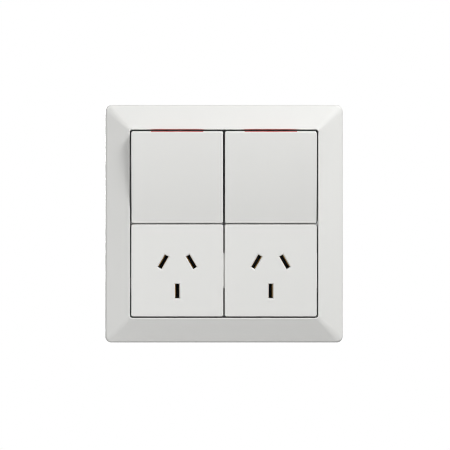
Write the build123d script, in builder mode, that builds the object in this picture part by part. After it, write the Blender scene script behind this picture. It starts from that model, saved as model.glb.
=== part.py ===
from build123d import *
from math import atan, atan2, cos, degrees, radians, sin, tan
import os

# A flush wall outlet with two rocker switches over two flat-pin sockets, in millimetres.
# X runs to the right, Y into the wall and Z up. The origin is the middle of the wall plane.
# A depth is measured from the wall plane out into the room, so a negative depth is inside the wall.

# Grid of four square modules
face_size = 44.7
module_gap = 0.7
edge_gap = 0.7
face_depth = 10.0
body_inset = 3.9
body_clearance = 0.2
body_back = 17.0
body_wall = 1.6
body_floor = 2.0
body_corner = 2.0
body_back_chamfer = 1.2
back_recess_depth = 0.6
back_recess_height = 13.0
back_recess_inset = 3.5

# Cover frame
bezel_width = 12.25
bezel_corner = 3.0
lip_depth = 5.5
lip_round = 1.4
bezel_wall = 2.0
opening_corner = 1.3
opening_round = 0.35
skirt_wall = 1.6
clip_width = 7.0
clip_spread = 30.0
clip_reach = 2.4
clip_hook = 0.7
clip_clearance = 0.15

# Support frame with its fixing slots
support_thickness = 2.4
support_margin = 2.0
support_corner = 3.0
support_rib_width = 1.6
support_rib_height = 1.6
back_rib_depth = 3.0
back_rib_gap = 1.0
fixing_pitch = 84.0
fixing_radius = 2.0
fixing_length = 6.6
fixing_countersink = 1.2

# Seats and snaps shared by the module bodies
flange_thickness = 2.0
flange_clearance = 0.1
snap_width = 8.0
snap_reach = 0.8
snap_length = 3.0
snap_slit = 0.9
snap_tongue = 7.0

# Socket
socket_wall = 1.6
socket_face_wall = 2.4
socket_corner = 1.0
socket_round = 0.4
side_rib_length = 17.0
side_rib_proud = 0.18
side_rib_below_face = 0.6
pin_offset_x = 6.86
pin_offset_up = 4.2
earth_offset_down = 10.07
pin_angle = 30.0
pin_length = 17.1
pin_tip_gap = 0.6
pin_slot_length = 7.0
pin_slot_width = 2.1
pin_slot_chamfer = 0.45
pin_guide_wall = 1.2
pin_guide_depth = 3.4
foot_proud = 0.3
foot_under_rocker = 0.8
foot_height = 0.4
catch_width = 7.0
catch_height = 1.0
catch_proud = 0.7
catch_clearance = 0.15

# Contact jaws and tunnel terminals
jaw_length = 9.0
jaw_gap = 1.5
jaw_leaf = 0.9
jaw_clearance = 4.0
jaw_lead_in = 0.5
link_width = 4.0
link_thickness = 1.2
terminal_size = 7.0
terminal_gap = 0.8
earth_terminal_gap = 4.45
wire_radius = 1.7
wire_entry_radius = 2.3
wire_funnel = 0.7
clamp_radius = 1.75
clamp_length = 4.4
clamp_clearance = 0.05
clamp_slot_width = 0.7
clamp_slot_depth = 0.9
divider_wall = 1.4
divider_below = 3.4
divider_end_gap = 1.2

# Rocker on its hinge
rocker_side_gap = 0.1
rocker_end_gap = 0.6
rocker_tilt = 6.3
rocker_rise = 5.0
rocker_skirt = 2.0
rocker_crown_radius = 320.0
rocker_wall = 1.8
rocker_corner = 0.9
rocker_round = 0.45
hinge_depth = 7.5
pin_radius = 1.5
pin_clearance = 0.05
lug_half_width = 2.6
lug_thickness = 2.0
bearing_edge = 0.5
bearing_thickness = 2.4
bearing_half_width = 3.2
bearing_gap = 0.4
bearing_top_clearance = 0.8
mark_length = 25.4
mark_front = 2.4
mark_sunk = 1.0

# Plunger, spring and seesaw contact
tube_radius = 3.0
tube_bore = 2.2
tube_reach = 5.5
plunger_clearance = 0.08
plunger_length = 7.7
plunger_reach = 9.2
plunger_tip = 1.2
spring_radius = 1.65
spring_wire = 0.25
spring_turns = 4.5
spring_wire_sides = 6
seesaw_tilt = 5.0
seesaw_length = 16.0
seesaw_width = 6.0
seesaw_thickness = 1.0
seesaw_clearance = 0.15
seesaw_waist = 4.0
notch_half_height = 1.2
notch_clearance = 0.2
arm_thickness = 1.0
arm_above = 0.6
fulcrum_half_width = 1.8
fulcrum_height = 4.2
fulcrum_tip_radius = 0.4
fulcrum_clearance = 0.05
rivet_up = 6.3
rivet_radius = 1.4
rivet_height = 0.7
rivet_chamfer = 0.3
contact_clearance = 0.06
stop_height = 1.8
stop_thickness = 1.6
stop_clearance = 0.1

# Bearing frame of the switch and its screws
bearing_frame_inset = 0.2
bearing_frame_thickness = 1.6
rocker_running_gap = 0.45
frame_window_margin = 1.7
frame_boss_inset = 1.9
frame_screw_radius = 1.2
frame_screw_length = 9.0
frame_screw_head = 2.3
frame_screw_head_height = 1.3
frame_screw_clearance = 0.15
frame_boss_radius = 2.6

# Places that follow from the sizes above
module_pitch = face_size + module_gap
body_size = face_size - 2 * body_inset
opening_size = module_pitch + face_size + 2 * edge_gap
plate_size = opening_size + 2 * bezel_width
window_size = body_size + 2 * body_clearance
support_size = plate_size - 2 * (bezel_wall + support_margin)
flange_top = support_thickness + flange_thickness
floor_depth = body_floor - body_back
socket_inner = face_size - 2 * socket_wall
jaw_front = face_depth - socket_face_wall - jaw_clearance
jaw_back = face_depth - pin_length - pin_tip_gap - link_thickness
jaw_depth = jaw_front - jaw_back
terminal_clamp_depth = (floor_depth + jaw_back) / 2
terminal_x = body_size / 2 - body_wall - terminal_gap - terminal_size / 2
terminal_up = terminal_x
earth_terminal_x = jaw_gap / 2 + jaw_leaf + earth_terminal_gap + terminal_size / 2
rocker_width = face_size - 2 * rocker_side_gap
rocker_sweep_radius = (module_pitch + module_gap) / 2 - rocker_end_gap
skirt_inner_half = rocker_width / 2 - rocker_wall
switch_flange = 2 * (skirt_inner_half - rocker_running_gap)
bearing_frame_size = switch_flange - 2 * bearing_frame_inset
bearing_x = bearing_frame_size / 2 - bearing_edge - bearing_thickness
frame_screw_offset = body_size / 2 - body_wall - frame_boss_inset
frame_window_height = 2 * (frame_screw_offset - frame_screw_head - frame_window_margin)
seesaw_front = hinge_depth - plunger_reach - seesaw_clearance
seesaw_axis = seesaw_front - seesaw_thickness
rivet_drop = rivet_height * cos(radians(seesaw_tilt)) + (rivet_up + rivet_radius) * sin(radians(seesaw_tilt))
fixed_contact = seesaw_axis - rivet_drop - contact_clearance
fulcrum_base = seesaw_axis - fulcrum_height


def front(depth, centre=(0, 0), tilt=0):
    """Plane that faces the room at a depth, its top tipped outwards by tilt degrees."""
    out = (0, -cos(radians(tilt)), -sin(radians(tilt)))
    return Plane(origin=(centre[0], -depth, centre[1]), x_dir=(1, 0, 0), z_dir=out)


def across(depth, centre, tilt=0):
    """Plane square to X through a point: sketch x runs up the module, sketch y out of the wall."""
    up = (0, -sin(radians(tilt)), cos(radians(tilt)))
    return Plane(origin=(centre[0], -depth, centre[1]), x_dir=up, z_dir=(1, 0, 0))


def upright(height, centre):
    """Plane square to Z at a height above a module's middle: sketch x runs left, sketch y out of the wall."""
    return Plane(origin=(centre[0], 0, centre[1] + height), x_dir=(-1, 0, 0), z_dir=(0, 0, 1))


def make_cover_frame():
    slope = atan((face_depth - lip_depth) / bezel_width)
    bevel_drop = bezel_wall / cos(slope)
    hollow_size = plate_size - 2 * bezel_wall
    hollow_shoulder = lip_depth + bezel_wall * tan(slope) - bevel_drop
    with BuildPart() as frame:
        with BuildSketch(front(0)):
            RectangleRounded(plate_size, plate_size, bezel_corner)
        with BuildSketch(front(lip_depth)):
            RectangleRounded(plate_size, plate_size, bezel_corner)
        with BuildSketch(front(face_depth)):
            RectangleRounded(opening_size, opening_size, opening_corner)
        loft(ruled=True)
        fillet(frame.edges().filter_by_position(Axis.Y, -lip_depth - 0.01, -lip_depth + 0.01), lip_round)
        with BuildSketch(front(0)):
            RectangleRounded(hollow_size, hollow_size, bezel_corner - bezel_wall)
        with BuildSketch(front(hollow_shoulder)):
            RectangleRounded(hollow_size, hollow_size, bezel_corner - bezel_wall)
        with BuildSketch(front(face_depth - bevel_drop)):
            RectangleRounded(opening_size, opening_size, opening_corner)
        loft(ruled=True, mode=Mode.SUBTRACT)
        # Skirt that stands on the support frame around the modules
        with BuildSketch(front(support_thickness)):
            RectangleRounded(opening_size + 2 * skirt_wall, opening_size + 2 * skirt_wall, skirt_wall)
        extrude(amount=face_depth - bevel_drop - support_thickness + skirt_wall / 2)
        with BuildSketch(front(0)):
            RectangleRounded(opening_size, opening_size, opening_corner)
        extrude(amount=face_depth, mode=Mode.SUBTRACT)
        fillet(
            frame.edges().filter_by_position(Axis.Y, -face_depth - 0.01, -face_depth + 0.01), opening_round
        )
        # Clip legs that pass through the support frame and hook behind it
        leg_inner = opening_size / 2
        leg_outer = leg_inner + skirt_wall
        for side in (-1, 1):
            for height in (-clip_spread, clip_spread):
                with BuildSketch(Plane(origin=(0, 0, height), x_dir=(side, 0, 0), z_dir=(0, 0, -side))):
                    with BuildLine():
                        Polyline(
                            (leg_inner, support_thickness),
                            (leg_outer, support_thickness),
                            (leg_outer, -clip_clearance),
                            (leg_outer + clip_hook, -clip_clearance),
                            (leg_outer, -clip_reach),
                            (leg_inner, -clip_reach),
                            close=True,
                        )
                    make_face()
                extrude(amount=clip_width / 2, both=True)
    return frame.part


def make_support_frame():
    leg_middle = opening_size / 2 + skirt_wall / 2
    with BuildPart() as support:
        with BuildSketch(front(0)):
            RectangleRounded(support_size, support_size, support_corner)
            with GridLocations(module_pitch, module_pitch, 2, 2):
                RectangleRounded(window_size, window_size, body_corner, mode=Mode.SUBTRACT)
            with GridLocations(2 * leg_middle, 2 * clip_spread, 2, 2):
                Rectangle(
                    skirt_wall + 2 * clip_clearance, clip_width + 2 * clip_clearance, mode=Mode.SUBTRACT
                )
            with GridLocations(fixing_pitch, 0, 2, 1):
                SlotOverall(fixing_length, 2 * fixing_radius, mode=Mode.SUBTRACT)
        extrude(amount=support_thickness)
        # Countersinks along the fixing slots keep the screw heads flush under the modules
        with BuildSketch(front(support_thickness)):
            with GridLocations(fixing_pitch, 0, 2, 1):
                SlotOverall(fixing_length + 2 * fixing_countersink, 2 * (fixing_radius + fixing_countersink))
        extrude(amount=-fixing_countersink, taper=45, mode=Mode.SUBTRACT)
        # Stiffening rib along the outer edge
        with BuildSketch(front(support_thickness)):
            RectangleRounded(support_size, support_size, support_corner)
            offset(amount=-support_rib_width, mode=Mode.SUBTRACT)
        extrude(amount=support_rib_height)
        # Cross of ribs behind the webs, between the module bodies
        rib_span = fixing_pitch - fixing_length - 2 * (fixing_countersink + back_rib_gap)
        with BuildSketch(front(0)):
            Rectangle(rib_span, support_rib_width)
            Rectangle(support_rib_width, opening_size)
        extrude(amount=-back_rib_depth)
    return support.part


def pin_places():
    """Middle and turn of the three pin slots on a socket module: active, neutral and earth."""
    return {
        "active": ((-pin_offset_x, pin_offset_up), -pin_angle),
        "neutral": ((pin_offset_x, pin_offset_up), pin_angle),
        "earth": ((0, -earth_offset_down), 0),
    }


def terminal_places():
    """Middle of the terminal that belongs to each pin slot."""
    return {
        "active": (-terminal_x, terminal_up),
        "neutral": (terminal_x, terminal_up),
        "earth": (-earth_terminal_x, -terminal_up),
    }


def make_socket_cover(centre):
    skirt_end = support_thickness
    with BuildPart() as cover:
        with BuildSketch(front(skirt_end, centre)):
            RectangleRounded(face_size, face_size, socket_corner)
        extrude(amount=face_depth - skirt_end)
        fillet(cover.faces().sort_by(Axis.Y)[0].edges(), socket_round)
        with BuildSketch(front(skirt_end, centre)):
            Rectangle(socket_inner, socket_inner)
        extrude(amount=face_depth - socket_face_wall - skirt_end, mode=Mode.SUBTRACT)
        # Foot around the skirt that closes the joints between the modules
        with BuildSketch(front(skirt_end, centre)):
            RectangleRounded(face_size + 2 * foot_proud, face_size + 2 * foot_proud, socket_corner)
            with Locations((0, face_size / 2)):
                Rectangle(face_size, 2 * foot_under_rocker)
            Rectangle(socket_inner, socket_inner, mode=Mode.SUBTRACT)
        extrude(amount=foot_height)
        # Pin slots with a guide behind the face and a small lead-in in front
        with BuildSketch(front(face_depth - socket_face_wall, centre)):
            for place, turn in pin_places().values():
                with Locations(place):
                    Rectangle(
                        pin_slot_width + 2 * pin_guide_wall,
                        pin_slot_length + 2 * pin_guide_wall,
                        rotation=turn,
                    )
        extrude(amount=-pin_guide_depth)
        with BuildSketch(front(face_depth, centre)):
            for place, turn in pin_places().values():
                with Locations(place):
                    Rectangle(pin_slot_width, pin_slot_length, rotation=turn)
        extrude(amount=-(socket_face_wall + pin_guide_depth), mode=Mode.SUBTRACT)
        with BuildSketch(front(face_depth, centre)):
            for place, turn in pin_places().values():
                with Locations(place):
                    Rectangle(
                        pin_slot_width + 2 * pin_slot_chamfer,
                        pin_slot_length + 2 * pin_slot_chamfer,
                        rotation=turn,
                    )
        extrude(amount=-pin_slot_chamfer, taper=45, mode=Mode.SUBTRACT)
        # Locating ribs on the two sides, just below the face
        rib_top = face_depth - side_rib_below_face
        with BuildSketch(front(skirt_end, centre)):
            with GridLocations(face_size + side_rib_proud - socket_wall, 0, 2, 1):
                Rectangle(side_rib_proud + socket_wall, side_rib_length)
        extrude(amount=rib_top - skirt_end)
        # Windows that the catches of the base snap into
        with BuildSketch(front(flange_top - catch_height - catch_clearance, centre)):
            Rectangle(catch_width + 2 * catch_clearance, face_size)
            Rectangle(catch_width + 2 * catch_clearance, socket_inner, mode=Mode.SUBTRACT)
        extrude(amount=catch_height + 2 * catch_clearance, mode=Mode.SUBTRACT)
    return cover.part


def body_shell(part, centre, flange_size):
    """Moulded module body: a square cup in a window of the support frame, with a flange and two snaps."""
    with BuildSketch(front(-body_back, centre)) as cup:
        RectangleRounded(body_size, body_size, body_corner)
    extrude(cup.sketch, amount=body_back + flange_top)
    chamfer(part.faces().sort_by(Axis.Y)[-1].edges(), body_back_chamfer)
    with BuildSketch(front(support_thickness, centre)) as flange:
        RectangleRounded(flange_size, flange_size, body_corner)
    extrude(flange.sketch, amount=flange_thickness)
    with BuildSketch(front(floor_depth, centre)) as hollow:
        RectangleRounded(body_size - 2 * body_wall, body_size - 2 * body_wall, body_corner - body_wall / 2)
    extrude(hollow.sketch, amount=flange_top - floor_depth, mode=Mode.SUBTRACT)
    with BuildSketch(front(-body_back, centre)) as recess:
        RectangleRounded(body_size - 2 * back_recess_inset, back_recess_height, body_corner)
    extrude(recess.sketch, amount=back_recess_depth, mode=Mode.SUBTRACT)
    # Each snap stands on a tongue that is cut free of the wall on three sides
    snap_foot = body_size / 2 - body_wall / 2
    for side in (-1, 1):
        with BuildSketch(across(0, centre).offset(side * (body_size / 2 - body_wall))) as slits:
            with Locations((0, snap_slit)):
                Rectangle(
                    snap_width + 2 * snap_slit, snap_tongue + snap_slit, align=(Align.CENTER, Align.MAX)
                )
            Rectangle(snap_width, snap_tongue, align=(Align.CENTER, Align.MAX), mode=Mode.SUBTRACT)
        extrude(slits.sketch, amount=side * body_wall, mode=Mode.SUBTRACT)
        middle = Plane(origin=(centre[0], 0, centre[1]), x_dir=(side, 0, 0), z_dir=(0, 0, -side))
        with BuildSketch(middle) as snap:
            with BuildLine():
                Polyline(
                    (snap_foot, 0),
                    (body_size / 2 + snap_reach, 0),
                    (body_size / 2, -snap_length),
                    (snap_foot, -snap_length),
                    close=True,
                )
            make_face()
        extrude(snap.sketch, amount=snap_width / 2, both=True)


def wire_and_clamp_holes(centre, places):
    """Funnelled wire entries in the floor and screwdriver holes in the wall beside each terminal."""
    with BuildSketch(front(-body_back, centre)) as entries:
        with Locations(*places):
            Circle(wire_entry_radius)
    extrude(entries.sketch, amount=body_floor, mode=Mode.SUBTRACT)
    with BuildSketch(front(-body_back, centre)) as funnels:
        with Locations(*places):
            Circle(wire_entry_radius + wire_funnel)
    extrude(funnels.sketch, amount=wire_funnel, taper=45, mode=Mode.SUBTRACT)
    for place in places:
        up = 1 if place[1] > 0 else -1
        with BuildSketch(upright(up * (body_size / 2 - body_wall), centre)) as access:
            with Locations((-place[0], terminal_clamp_depth)):
                Circle(wire_entry_radius)
        extrude(access.sketch, amount=up * body_wall, mode=Mode.SUBTRACT)


def make_socket_base(centre):
    flange_size = socket_inner - 2 * flange_clearance
    with BuildPart() as base:
        body_shell(base, centre, flange_size)
        # Dividers keep the three contacts apart
        with BuildSketch(front(floor_depth, centre)):
            with Locations((0, -divider_below)):
                Rectangle(body_size - 2 * (body_wall + divider_end_gap), divider_wall)
            with Locations((0, (body_size / 2 - body_wall / 2 - divider_below) / 2)):
                Rectangle(divider_wall, body_size / 2 - body_wall / 2 + divider_below)
        extrude(amount=flange_top - floor_depth)
        # Catches on the flange for the windows of the cover
        with BuildSketch(front(flange_top - catch_height, centre)):
            with GridLocations(0, flange_size + catch_proud - flange_thickness, 1, 2):
                Rectangle(catch_width, catch_proud + flange_thickness)
        extrude(amount=catch_height)
        wire_and_clamp_holes(centre, list(terminal_places().values()))
    return base.part


def clamp_hole(centre, place, block_depth):
    """Wire tunnel and tapped clamp hole of a terminal block."""
    up = 1 if place[1] > 0 else -1
    with BuildSketch(front(floor_depth, centre)) as tunnel:
        with Locations(place):
            Circle(wire_radius)
    extrude(tunnel.sketch, amount=block_depth, mode=Mode.SUBTRACT)
    with BuildSketch(upright(place[1], centre)) as thread:
        with Locations((-place[0], terminal_clamp_depth)):
            Circle(clamp_radius + clamp_clearance)
    extrude(thread.sketch, amount=up * terminal_size, mode=Mode.SUBTRACT)


def make_contact(centre, pin):
    """Sprung brass jaw behind a pin slot, with a link to its tunnel terminal at the back of the body."""
    place, turn = pin_places()[pin]
    terminal = terminal_places()[pin]
    run = Vector(*terminal) - Vector(*place)
    with BuildPart() as contact:
        with BuildSketch(front(jaw_back, centre)):
            with Locations(place):
                Rectangle(jaw_gap + 2 * jaw_leaf, jaw_length, rotation=turn)
        extrude(amount=jaw_depth)
        with BuildSketch(front(jaw_back, centre)):
            with Locations((Vector(*place) + Vector(*terminal)) * 0.5):
                Rectangle(run.length, link_width, rotation=degrees(atan2(run.Y, run.X)))
        extrude(amount=link_thickness)
        # Pin way between the two leaves, closed only by the web at its lower end
        with BuildSketch(front(jaw_back, centre)):
            with Locations(Location((*place, 0), (0, 0, turn))):
                with Locations((0, jaw_leaf)):
                    Rectangle(jaw_gap, jaw_length)
        extrude(amount=jaw_depth, mode=Mode.SUBTRACT)
        with BuildSketch(front(jaw_front, centre)):
            with Locations(Location((*place, 0), (0, 0, turn))):
                with Locations((0, jaw_leaf)):
                    Rectangle(jaw_gap + 2 * jaw_lead_in, jaw_length)
        extrude(amount=-jaw_lead_in, taper=45, mode=Mode.SUBTRACT)
        with BuildSketch(front(floor_depth, centre)):
            with Locations(terminal):
                Rectangle(terminal_size, terminal_size)
        extrude(amount=jaw_back + link_thickness - floor_depth)
        clamp_hole(centre, terminal, jaw_back - floor_depth)
    return contact.part


def make_clamp_screws(centre, places):
    """Headless slotted clamp screws, backed off to the wall side of their terminals."""
    with BuildPart() as screws:
        for place in places:
            up = 1 if place[1] > 0 else -1
            outer = place[1] + up * (terminal_size / 2 + clamp_slot_depth)
            with BuildSketch(upright(outer, centre)):
                with Locations((-place[0], terminal_clamp_depth)):
                    Circle(clamp_radius)
            extrude(amount=-up * clamp_length)
            with BuildSketch(upright(outer, centre)):
                with Locations((-place[0], terminal_clamp_depth)):
                    Rectangle(2 * clamp_radius, clamp_slot_width)
            extrude(amount=-up * clamp_slot_depth, mode=Mode.SUBTRACT)
    return screws.part


def rocker_section(inset):
    """Rocker seen from its end: two sides swept about the hinge, a slightly crowned face and a flat back."""
    Circle(rocker_sweep_radius - inset)
    with Locations((0, (rocker_rise - inset - rocker_skirt) / 2)):
        Rectangle(2 * rocker_sweep_radius, rocker_rise - inset + rocker_skirt, mode=Mode.INTERSECT)
    with Locations((0, rocker_rise - inset - rocker_crown_radius)):
        Circle(rocker_crown_radius, mode=Mode.INTERSECT)


def mark_section():
    """Band on the upper side of the rocker that the coloured mark takes up, down to the end of the skirt."""
    with Locations((rocker_sweep_radius - mark_sunk, mark_front)):
        Rectangle(rocker_sweep_radius, mark_front + rocker_skirt, align=(Align.MIN, Align.MAX))


def rocker_blank(part, centre):
    """Outside of the rocker before it is hollowed, with its soft edges."""
    with BuildSketch(across(hinge_depth, centre, rocker_tilt)) as outside:
        rocker_section(0)
    extrude(outside.sketch, amount=rocker_width / 2, both=True)
    swept = part.edges().filter_by(GeomType.CIRCLE)
    fillet(swept.filter_by(lambda edge: abs(edge.radius - rocker_sweep_radius) < 0.001), rocker_corner)
    fillet(part.faces().sort_by(Axis.Y)[0].edges(), rocker_round)


def make_rocker(centre):
    side = across(hinge_depth, centre, rocker_tilt)
    face = front(hinge_depth, centre, rocker_tilt)
    ceiling = rocker_rise - rocker_wall
    lug_outer = bearing_x - bearing_gap
    with BuildPart() as rocker:
        rocker_blank(rocker, centre)
        with BuildSketch(side):
            rocker_section(rocker_wall)
        extrude(amount=skirt_inner_half, both=True, mode=Mode.SUBTRACT)
        with BuildSketch(side):
            mark_section()
        extrude(amount=mark_length / 2, both=True, mode=Mode.SUBTRACT)
        # Bearing lugs with the hinge pins
        for out in (-1, 1):
            with BuildSketch(side.offset(out * lug_outer)):
                Circle(lug_half_width)
                with Locations((0, ceiling / 2 + rocker_wall / 4)):
                    Rectangle(2 * lug_half_width, ceiling + rocker_wall / 2)
            extrude(amount=-out * lug_thickness)
            with BuildSketch(side.offset(out * lug_outer)):
                Circle(pin_radius)
            extrude(amount=out * (bearing_gap + bearing_thickness))
        # Tube that guides the plunger and its spring
        with BuildSketch(face.offset(-tube_reach)):
            Circle(tube_radius)
        extrude(amount=tube_reach + ceiling + rocker_wall / 2)
        with BuildSketch(face.offset(-tube_reach)):
            Circle(tube_bore)
        extrude(amount=tube_reach + ceiling, mode=Mode.SUBTRACT)
    return rocker.part


def make_on_mark(centre):
    with BuildPart() as mark:
        rocker_blank(mark, centre)
        with BuildSketch(across(hinge_depth, centre, rocker_tilt)):
            mark_section()
        extrude(amount=mark_length / 2, both=True, mode=Mode.INTERSECT)
    return mark.part


def make_plunger(centre):
    shank = tube_bore - plunger_clearance
    with BuildPart() as plunger:
        with BuildSketch(across(hinge_depth, centre, rocker_tilt)):
            with BuildLine():
                top = plunger_length - plunger_reach
                shoulder = plunger_tip + shank - plunger_reach
                Polyline((0, -plunger_reach), (0, top), (shank, top), (shank, shoulder))
                Line((shank, shoulder), (plunger_tip, plunger_tip - plunger_reach))
                RadiusArc((plunger_tip, plunger_tip - plunger_reach), (0, -plunger_reach), plunger_tip)
            make_face()
        revolve(axis=Axis(front(hinge_depth, centre).origin, front(0, centre, rocker_tilt).z_dir))
    return plunger.part


def make_plunger_spring(centre):
    bottom = plunger_length - plunger_reach + spring_wire
    top = rocker_rise - rocker_wall - spring_wire
    seat = front(hinge_depth, centre, rocker_tilt).offset(bottom)
    height = top - bottom
    with BuildPart() as spring:
        with BuildLine() as coil:
            Helix(height / spring_turns, height, spring_radius, center=seat.origin, direction=seat.z_dir)
        with BuildSketch(coil.line ^ 0):
            RegularPolygon(spring_wire, spring_wire_sides)
        sweep()
    return spring.part


def make_moving_contact(centre):
    """Seesaw strip with a waist and a groove for the fulcrum, and a contact rivet under its upper end."""
    strip = front(seesaw_axis, centre, -seesaw_tilt)
    with BuildPart() as contact:
        with BuildSketch(strip):
            Rectangle(seesaw_width, seesaw_length)
            notch = (seesaw_width - seesaw_waist) / 2
            with GridLocations(seesaw_width - notch, 0, 2, 1):
                Rectangle(notch, 2 * notch_half_height, mode=Mode.SUBTRACT)
        extrude(amount=seesaw_thickness)
        with BuildSketch(strip):
            with Locations((0, rivet_up)):
                Circle(rivet_radius)
        extrude(amount=-rivet_height)
        chamfer(contact.faces().sort_by(Axis.Y)[-1].edges(), rivet_chamfer)
        with BuildSketch(across(seesaw_axis, centre)):
            Circle(fulcrum_tip_radius + fulcrum_clearance)
        extrude(amount=seesaw_width / 2, both=True, mode=Mode.SUBTRACT)
    return contact.part


def make_line_terminal(centre):
    """Terminal strip with the rounded fulcrum and the two arms that the seesaw stands between."""
    block = (0, -terminal_up)
    arm_x = seesaw_waist / 2 + notch_clearance
    strip_width = 2 * (arm_x + arm_thickness)
    with BuildPart() as terminal:
        with BuildSketch(across(0, centre)):
            with BuildLine():
                Polyline(
                    (-fulcrum_half_width, fulcrum_base),
                    (-fulcrum_tip_radius, seesaw_axis),
                    (fulcrum_tip_radius, seesaw_axis),
                    (fulcrum_half_width, fulcrum_base),
                    close=True,
                )
            make_face()
            with Locations((0, seesaw_axis)):
                Circle(fulcrum_tip_radius)
        extrude(amount=arm_x, both=True)
        with BuildSketch(front(fulcrum_base, centre)):
            with GridLocations(2 * arm_x + arm_thickness, 0, 2, 1):
                Rectangle(arm_thickness, 2 * (notch_half_height - notch_clearance))
        extrude(amount=seesaw_front + arm_above - fulcrum_base)
        with BuildSketch(front(fulcrum_base, centre)):
            with Locations((0, (fulcrum_half_width - terminal_up) / 2)):
                Rectangle(strip_width, fulcrum_half_width + terminal_up)
        extrude(amount=-link_thickness)
        with BuildSketch(front(floor_depth, centre)):
            with Locations(block):
                Rectangle(terminal_size, terminal_size)
        extrude(amount=fulcrum_base - floor_depth)
        clamp_hole(centre, block, fulcrum_base - link_thickness - floor_depth)
    return terminal.part


def make_load_terminal(centre):
    """Terminal strip with the fixed contact rivet below the seesaw's upper end."""
    block = (0, terminal_up)
    strip_front = fixed_contact - rivet_height
    strip_foot = rivet_up - seesaw_width / 2
    with BuildPart() as terminal:
        with BuildSketch(front(strip_front, centre)):
            with Locations((0, (strip_foot + terminal_up) / 2)):
                Rectangle(seesaw_width, terminal_up - strip_foot)
        extrude(amount=-link_thickness)
        with BuildSketch(front(strip_front, centre)):
            with Locations((0, rivet_up)):
                Circle(rivet_radius)
        extrude(amount=rivet_height)
        chamfer(terminal.faces().sort_by(Axis.Y)[0].edges(), rivet_chamfer)
        with BuildSketch(front(floor_depth, centre)):
            with Locations(block):
                Rectangle(terminal_size, terminal_size)
        extrude(amount=strip_front - floor_depth)
        clamp_hole(centre, block, strip_front - link_thickness - floor_depth)
    return terminal.part


def frame_screw_places():
    return [(-frame_screw_offset, frame_screw_offset), (frame_screw_offset, -frame_screw_offset)]


def make_switch_body(centre):
    terminals = [(0, -terminal_up), (0, terminal_up)]
    stop_up = -seesaw_length / 2 + stop_thickness / 2
    stop_front = seesaw_axis - seesaw_length / 2 * sin(radians(seesaw_tilt)) - stop_clearance
    with BuildPart() as body:
        body_shell(body, centre, switch_flange)
        # Bosses for the screws of the bearing frame
        with BuildSketch(front(floor_depth, centre)):
            with Locations(*frame_screw_places()):
                Circle(frame_boss_radius)
        extrude(amount=flange_top - floor_depth)
        with BuildSketch(front(flange_top, centre)):
            with Locations(*frame_screw_places()):
                Circle(frame_screw_radius)
        extrude(amount=-frame_screw_length, mode=Mode.SUBTRACT)
        # Bridge that stops the seesaw's lower end
        with BuildSketch(front(stop_front, centre)):
            with Locations((0, stop_up)):
                Rectangle(body_size - body_wall, stop_thickness)
        extrude(amount=-stop_height)
        wire_and_clamp_holes(centre, terminals)
    return body.part


def make_switch_frame(centre):
    bearing_top = hinge_depth + rocker_rise - rocker_wall - bearing_top_clearance
    with BuildPart() as frame:
        with BuildSketch(front(flange_top, centre)):
            RectangleRounded(bearing_frame_size, bearing_frame_size, body_corner)
            Rectangle(2 * (bearing_x - bearing_gap / 2), frame_window_height, mode=Mode.SUBTRACT)
            with Locations(*frame_screw_places()):
                Circle(frame_screw_radius + frame_screw_clearance, mode=Mode.SUBTRACT)
        extrude(amount=bearing_frame_thickness)
        for out in (-1, 1):
            with BuildSketch(across(0, centre).offset(out * bearing_x)):
                with Locations((0, flange_top)):
                    Rectangle(
                        2 * bearing_half_width, bearing_top - flange_top, align=(Align.CENTER, Align.MIN)
                    )
                with Locations((0, hinge_depth)):
                    Circle(pin_radius + pin_clearance, mode=Mode.SUBTRACT)
            extrude(amount=out * bearing_thickness)
    return frame.part


def make_frame_screws(centre):
    seat = flange_top + bearing_frame_thickness
    with BuildPart() as screws:
        with BuildSketch(front(seat, centre)):
            with Locations(*frame_screw_places()):
                Circle(frame_screw_head)
        extrude(amount=frame_screw_head_height)
        with BuildSketch(front(seat, centre)):
            with Locations(*frame_screw_places()):
                Circle(frame_screw_radius)
        extrude(amount=-(bearing_frame_thickness + frame_screw_length))
        with BuildSketch(front(seat + frame_screw_head_height, centre)):
            with Locations(*frame_screw_places()):
                Rectangle(2 * frame_screw_head, clamp_slot_width)
        extrude(amount=-frame_screw_head_height / 2, mode=Mode.SUBTRACT)
    return screws.part


pieces = {
    "cover_frame": make_cover_frame(),
    "support_frame": make_support_frame(),
}
for side, middle_x in (("left", -module_pitch / 2), ("right", module_pitch / 2)):
    switch = (middle_x, module_pitch / 2)
    socket = (middle_x, -module_pitch / 2)
    pieces[f"{side}_rocker"] = make_rocker(switch)
    pieces[f"{side}_on_mark"] = make_on_mark(switch)
    pieces[f"{side}_plunger"] = make_plunger(switch)
    pieces[f"{side}_plunger_spring"] = make_plunger_spring(switch)
    pieces[f"{side}_moving_contact"] = make_moving_contact(switch)
    pieces[f"{side}_line_terminal"] = make_line_terminal(switch)
    pieces[f"{side}_load_terminal"] = make_load_terminal(switch)
    pieces[f"{side}_switch_screws"] = make_clamp_screws(switch, [(0, -terminal_up), (0, terminal_up)])
    pieces[f"{side}_switch_body"] = make_switch_body(switch)
    pieces[f"{side}_switch_frame"] = make_switch_frame(switch)
    pieces[f"{side}_frame_screws"] = make_frame_screws(switch)
    pieces[f"{side}_socket_cover"] = make_socket_cover(socket)
    pieces[f"{side}_socket_base"] = make_socket_base(socket)
    for pin in pin_places():
        pieces[f"{side}_{pin}_contact"] = make_contact(socket, pin)
    pieces[f"{side}_socket_screws"] = make_clamp_screws(socket, list(terminal_places().values()))

os.makedirs("parts", exist_ok=True)
for name, piece in pieces.items():
    piece.label = name
    export_step(piece, f"parts/{name}.step")
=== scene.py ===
import math

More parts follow.
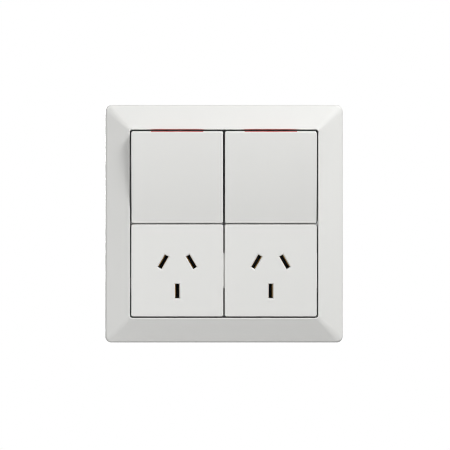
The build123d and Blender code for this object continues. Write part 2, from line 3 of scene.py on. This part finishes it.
import bpy
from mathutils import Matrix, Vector


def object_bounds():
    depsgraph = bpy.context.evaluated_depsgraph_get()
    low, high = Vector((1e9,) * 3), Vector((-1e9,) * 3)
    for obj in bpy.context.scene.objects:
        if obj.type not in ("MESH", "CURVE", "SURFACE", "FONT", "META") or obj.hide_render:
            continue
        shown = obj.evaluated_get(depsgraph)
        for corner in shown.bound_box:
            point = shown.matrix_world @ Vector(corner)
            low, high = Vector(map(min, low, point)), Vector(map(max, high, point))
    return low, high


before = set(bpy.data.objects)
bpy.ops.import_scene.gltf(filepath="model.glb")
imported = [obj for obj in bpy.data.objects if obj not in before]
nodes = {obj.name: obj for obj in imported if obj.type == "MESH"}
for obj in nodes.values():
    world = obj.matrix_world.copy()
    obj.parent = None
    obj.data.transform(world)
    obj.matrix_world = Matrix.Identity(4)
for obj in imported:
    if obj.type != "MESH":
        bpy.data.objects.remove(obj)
cad_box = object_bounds()
bpy.ops.object.select_all(action="DESELECT")


# Support frame. The plate that is screwed to the wall box: one grey moulding of glass-filled plastic,
# with windows for the modules, countersunk fixing slots and a stiffening rib round its edge.
# Its finish is a plain mould texture, a little uneven where the glass fibres lie near the skin.
def moulded_skin_group():
    """Mould texture shared by the plastics: uneven tint, uneven gloss and the fine grain of the tool."""
    flow_detail = 3.0
    grain_detail = 2.0
    noise_middle = 0.5
    group = bpy.data.node_groups.new("moulded_skin", "ShaderNodeTree")
    sockets = group.interface
    for name, kind, value in (
        ("Color", "NodeSocketColor", (0.8, 0.8, 0.8, 1.0)),
        ("Tint", "NodeSocketFloat", 0.04),
        ("Gloss", "NodeSocketFloat", 0.4),
        ("Gloss Spread", "NodeSocketFloat", 0.06),
        ("Grain", "NodeSocketFloat", 4000.0),
        ("Flow", "NodeSocketFloat", 30.0),
    ):
        sockets.new_socket(name, in_out="INPUT", socket_type=kind).default_value = value
    sockets.new_socket("Color", in_out="OUTPUT", socket_type="NodeSocketColor")
    sockets.new_socket("Roughness", in_out="OUTPUT", socket_type="NodeSocketFloat")
    sockets.new_socket("Height", in_out="OUTPUT", socket_type="NodeSocketFloat")
    tree = group.nodes
    link = group.links.new
    given = tree.new("NodeGroupInput")
    result = tree.new("NodeGroupOutput")
    place = tree.new("ShaderNodeTexCoord")
    flow = tree.new("ShaderNodeTexNoise")
    flow.inputs["Detail"].default_value = flow_detail
    link(place.outputs["Object"], flow.inputs["Vector"])
    link(given.outputs["Flow"], flow.inputs["Scale"])
    grain = tree.new("ShaderNodeTexNoise")
    grain.inputs["Detail"].default_value = grain_detail
    link(place.outputs["Object"], grain.inputs["Vector"])
    link(given.outputs["Grain"], grain.inputs["Scale"])
    centred = tree.new("ShaderNodeMath")
    centred.operation = "SUBTRACT"
    centred.inputs[1].default_value = noise_middle
    link(flow.outputs["Fac"], centred.inputs[0])
    tint = tree.new("ShaderNodeMath")
    tint.operation = "MULTIPLY_ADD"
    tint.inputs[2].default_value = 1.0
    link(centred.outputs[0], tint.inputs[0])
    link(given.outputs["Tint"], tint.inputs[1])
    shade = tree.new("ShaderNodeVectorMath")
    shade.operation = "SCALE"
    link(given.outputs["Color"], shade.inputs[0])
    link(tint.outputs[0], shade.inputs["Scale"])
    link(shade.outputs["Vector"], result.inputs["Color"])
    gloss = tree.new("ShaderNodeMath")
    gloss.operation = "MULTIPLY_ADD"
    link(centred.outputs[0], gloss.inputs[0])
    link(given.outputs["Gloss Spread"], gloss.inputs[1])
    link(given.outputs["Gloss"], gloss.inputs[2])
    link(gloss.outputs[0], result.inputs["Roughness"])
    link(grain.outputs["Fac"], result.inputs["Height"])
    return group


moulded_skin = moulded_skin_group()
plastic_ior = 1.5


def moulded_plastic(name, color, roughness, grain_depth, tint=0.04, grain=4000.0, shine=0.5):
    """Moulded plastic with the skin above, its grain as a bump of grain_depth metres."""
    material = bpy.data.materials.new(name)
    material.use_nodes = True
    tree = material.node_tree
    shader = tree.nodes["Principled BSDF"]
    skin = tree.nodes.new("ShaderNodeGroup")
    skin.node_tree = moulded_skin
    skin.inputs["Color"].default_value = (*color, 1.0)
    skin.inputs["Tint"].default_value = tint
    skin.inputs["Gloss"].default_value = roughness
    skin.inputs["Grain"].default_value = grain
    bump = tree.nodes.new("ShaderNodeBump")
    bump.inputs["Distance"].default_value = grain_depth
    tree.links.new(skin.outputs["Color"], shader.inputs["Base Color"])
    tree.links.new(skin.outputs["Roughness"], shader.inputs["Roughness"])
    tree.links.new(skin.outputs["Height"], bump.inputs["Height"])
    tree.links.new(bump.outputs["Normal"], shader.inputs["Normal"])
    shader.inputs["IOR"].default_value = plastic_ior
    shader.inputs["Specular IOR Level"].default_value = shine
    return material


def finish_nodes(names, material):
    """Give CAD nodes a finish in place of their plain packed colour."""
    for name in names:
        mesh = nodes[name].data
        mesh.materials.clear()
        mesh.materials.append(material)


support_grey = moulded_plastic(
    "support_grey", color=(0.42, 0.43, 0.44), roughness=0.55, grain_depth=0.00002, tint=0.16, grain=2600.0
)
finish_nodes(["support_frame"], support_grey)


# Module bodies. The deep cups behind the plate that hold the live parts, in dark heat-proof plastic.
# Each is held in its window of the support frame by a flange and two snaps, and has its wire entries behind.
both_sides = ("left", "right")
body_pieces = ("switch_body", "socket_base")
body_dark = moulded_plastic(
    "body_dark", color=(0.030, 0.031, 0.034), roughness=0.48, grain_depth=0.00003, tint=0.3, grain=2200.0
)
finish_nodes([f"{side}_{piece}" for side in both_sides for piece in body_pieces], body_dark)


# Terminals and contacts. Stamped and folded brass: the pin jaws of the sockets, the fulcrum and the
# fixed contacts of the switches, and the seesaw strips. They lie in the bodies and show at the wire entries.
def drawn_metal(name, color, roughness, streak_stretch, streak_depth):
    """Bare metal with the fine streaks that rolling or drawing leaves along it, and slightly dull patches."""
    streak_scale = 900.0
    streak_detail = 3.0
    dull_scale = 160.0
    dull_share = 0.72
    dull_below = 0.3
    bright_above = 0.7
    smoother = 0.07
    rougher = 0.1
    material = bpy.data.materials.new(name)
    material.use_nodes = True
    tree = material.node_tree
    shader = tree.nodes["Principled BSDF"]
    place = tree.nodes.new("ShaderNodeTexCoord")
    stretch = tree.nodes.new("ShaderNodeMapping")
    stretch.inputs["Scale"].default_value = streak_stretch
    streaks = tree.nodes.new("ShaderNodeTexNoise")
    streaks.inputs["Scale"].default_value = streak_scale
    streaks.inputs["Detail"].default_value = streak_detail
    dull = tree.nodes.new("ShaderNodeTexNoise")
    dull.inputs["Scale"].default_value = dull_scale
    ramp = tree.nodes.new("ShaderNodeValToRGB")
    dull_end, bright_end = ramp.color_ramp.elements
    dull_end.position = dull_below
    dull_end.color = (*[dull_share * part for part in color], 1.0)
    bright_end.position = bright_above
    bright_end.color = (*color, 1.0)
    rough = tree.nodes.new("ShaderNodeMapRange")
    rough.inputs["To Min"].default_value = roughness - smoother
    rough.inputs["To Max"].default_value = roughness + rougher
    bump = tree.nodes.new("ShaderNodeBump")
    bump.inputs["Distance"].default_value = streak_depth
    link = tree.links.new
    link(place.outputs["Object"], stretch.inputs["Vector"])
    link(stretch.outputs["Vector"], streaks.inputs["Vector"])
    link(place.outputs["Object"], dull.inputs["Vector"])
    link(dull.outputs["Fac"], ramp.inputs["Fac"])
    link(ramp.outputs["Color"], shader.inputs["Base Color"])
    link(streaks.outputs["Fac"], rough.inputs["Value"])
    link(rough.outputs["Result"], shader.inputs["Roughness"])
    link(streaks.outputs["Fac"], bump.inputs["Height"])
    link(bump.outputs["Normal"], shader.inputs["Normal"])
    shader.inputs["Metallic"].default_value = 1.0
    return material


brass_pieces = (
    "line_terminal", "load_terminal", "moving_contact", "active_contact", "neutral_contact", "earth_contact"
)
stamped_brass = drawn_metal(
    "stamped_brass", color=(0.74, 0.53, 0.23), roughness=0.3,
    streak_stretch=(1.0, 0.12, 1.0), streak_depth=0.00001,
)
finish_nodes([f"{side}_{piece}" for side in both_sides for piece in brass_pieces], stamped_brass)


# Screws and springs. Zinc-plated steel: the slotted clamp screws of the terminals, the screws of the
# bearing frames and the springs behind the plungers.
steel_pieces = ("switch_screws", "socket_screws", "frame_screws", "plunger_spring")
plated_steel = drawn_metal(
    "plated_steel", color=(0.60, 0.61, 0.62), roughness=0.28,
    streak_stretch=(1.0, 1.0, 0.2), streak_depth=0.000006,
)
finish_nodes([f"{side}_{piece}" for side in both_sides for piece in steel_pieces], plated_steel)


# Plungers. Small turned pins of natural nylon in the rockers' tubes. The springs push them out,
# so that their rounded ends press on the seesaw strips.
natural_nylon = moulded_plastic(
    "natural_nylon", color=(0.72, 0.69, 0.60), roughness=0.4, grain_depth=0.00001, tint=0.08
)
finish_nodes([f"{side}_plunger" for side in both_sides], natural_nylon)


# White mouldings. The bearing frames, rockers, socket faces and the cover frame are all of the same
# white plastic with a fine satin skin, slightly warm, so they share one finish.
white_pieces = ("switch_frame", "rocker", "socket_cover")
satin_white = moulded_plastic(
    "satin_white", color=(0.80, 0.80, 0.779), roughness=0.42, grain_depth=0.000004, tint=0.012, grain=6000.0
)
finish_nodes([f"{side}_{piece}" for side in both_sides for piece in white_pieces], satin_white)
finish_nodes(["cover_frame"], satin_white)


# On marks. Red plastic inlays let into the upper sides of the rockers, flush with them.
# They stand proud of the frame while a switch is on, and sink behind it when it is off.
mark_red = moulded_plastic(
    "mark_red", color=(0.55, 0.006, 0.006), roughness=0.5, grain_depth=0.000004, tint=0.05, shine=0.0
)
finish_nodes([f"{side}_on_mark" for side in both_sides], mark_red)


# Floor. A broad matt sheet well below the outlet. It is paler to the camera and in reflections than
# in the light that it sends back, and clear from below, so that the outlet shows from there too.
def shown_mask(tree):
    """Mask of the rays that see the white studio: from the camera, off shiny skins and through clear ones."""
    rays = tree.nodes.new("ShaderNodeLightPath")
    mask = rays.outputs["Is Camera Ray"]
    for kind in ("Is Glossy Ray", "Is Transmission Ray"):
        either = tree.nodes.new("ShaderNodeMath")
        either.operation = "MAXIMUM"
        tree.links.new(mask, either.inputs[0])
        tree.links.new(rays.outputs[kind], either.inputs[1])
        mask = either.outputs[0]
    return mask


pure_white = (1.0, 1.0, 1.0, 1.0)
floor_size = 3.0
floor_drop = 0.3
floor_roughness = 0.9
floor_pale = 0.85
floor_bounce = 0.4
floor_glow = 0.7
bpy.ops.mesh.primitive_plane_add(size=floor_size, location=(0, 0, cad_box[0][2] - floor_drop))
floor = bpy.context.object
floor.name = "floor"
bpy.ops.object.transform_apply(location=True)
floor_paint = bpy.data.materials.new("floor_pale")
floor_paint.use_nodes = True
floor_tree = floor_paint.node_tree
floor_link = floor_tree.links.new
floor_shader = floor_tree.nodes["Principled BSDF"]
floor_shader.inputs["Roughness"].default_value = floor_roughness
floor_shader.inputs["Emission Color"].default_value = pure_white
floor_tone = floor_tree.nodes.new("ShaderNodeMapRange")
floor_tone.inputs["To Min"].default_value = floor_bounce
floor_tone.inputs["To Max"].default_value = floor_pale
floor_lift = floor_tree.nodes.new("ShaderNodeMath")
floor_lift.operation = "MULTIPLY"
floor_lift.inputs[1].default_value = floor_glow
floor_shown = shown_mask(floor_tree)
floor_link(floor_shown, floor_lift.inputs[0])
floor_link(floor_lift.outputs[0], floor_shader.inputs["Emission Strength"])
floor_link(floor_shown, floor_tone.inputs["Value"])
floor_link(floor_tone.outputs["Result"], floor_shader.inputs["Base Color"])
floor_side = floor_tree.nodes.new("ShaderNodeNewGeometry")
floor_clear = floor_tree.nodes.new("ShaderNodeBsdfTransparent")
floor_mix = floor_tree.nodes.new("ShaderNodeMixShader")
floor_link(floor_side.outputs["Backfacing"], floor_mix.inputs["Fac"])
floor_link(floor_shader.outputs["BSDF"], floor_mix.inputs[1])
floor_link(floor_clear.outputs["BSDF"], floor_mix.inputs[2])
floor_link(floor_mix.outputs["Shader"], floor_tree.nodes["Material Output"].inputs["Surface"])
floor.data.materials.append(floor_paint)


# Surround. A white studio that the camera and reflections see at full strength,
# while it lights the outlet itself only very faintly.
surround_light = 0.01
surround_shown = 1.0
world = bpy.data.worlds.new("studio")
bpy.context.scene.world = world
world.use_nodes = True
world_tree = world.node_tree
background = world_tree.nodes["Background"]
background.inputs["Color"].default_value = pure_white
level = world_tree.nodes.new("ShaderNodeMapRange")
level.inputs["To Min"].default_value = surround_light
level.inputs["To Max"].default_value = surround_shown
world_tree.links.new(shown_mask(world_tree), level.inputs["Value"])
world_tree.links.new(level.outputs["Result"], background.inputs["Strength"])


# Lamps. A strong soft key and a smaller, nearer one from the upper right, a weak fill from the lower left
# and a broad weak one from the front, and a narrow one behind that lights only the hidden side.
def soft_lamp(name, direction, distance, size, power):
    """Square area lamp on a direction from the outlet, turned to face it."""
    bpy.ops.object.light_add(type="AREA")
    lamp = bpy.context.object
    lamp.name = name
    lamp.data.size = size
    lamp.data.energy = power
    lamp.location = Vector(direction).normalized() * distance
    lamp.rotation_euler = (-lamp.location).to_track_quat("-Z", "Y").to_euler()
    return lamp


soft_lamp("key_lamp", direction=(0.495, -0.531, 0.688), distance=1.3, size=0.35, power=11.45)
soft_lamp("near_lamp", direction=(0.378, -0.520, 0.766), distance=0.75, size=0.15, power=1.16)
soft_lamp("fill_lamp", direction=(-0.633, -0.754, -0.174), distance=0.45, size=0.25, power=0.49)
soft_lamp("front_lamp", direction=(0.0, -0.996, 0.087), distance=1.6, size=0.8, power=3.45)
back_spread = math.radians(40)
back_lamp = soft_lamp("back_lamp", direction=(-0.5, 0.84, 0.2), distance=1.2, size=0.6, power=1.6)
back_lamp.data.spread = back_spread


# Camera. Straight on, about a metre away, framed as in the photograph.
# A narrow pixel filter keeps the seams as crisp as they are there.
view_width = 0.2185
camera_distance = 0.9
face_plane = -0.010
camera_x = 0.0005
camera_z = -0.0006
camera_turn = math.radians(90)
sensor_width = 36.0
pixel_filter = 0.9
bpy.ops.object.camera_add(
    location=(camera_x, face_plane - camera_distance, camera_z), rotation=(camera_turn, 0, 0)
)
camera = bpy.context.object
camera.data.sensor_width = sensor_width
camera.data.lens = sensor_width * camera_distance / view_width
bpy.context.scene.camera = camera
bpy.context.scene.cycles.filter_width = pixel_filter
bpy.context.scene.view_settings.view_transform = "Standard"
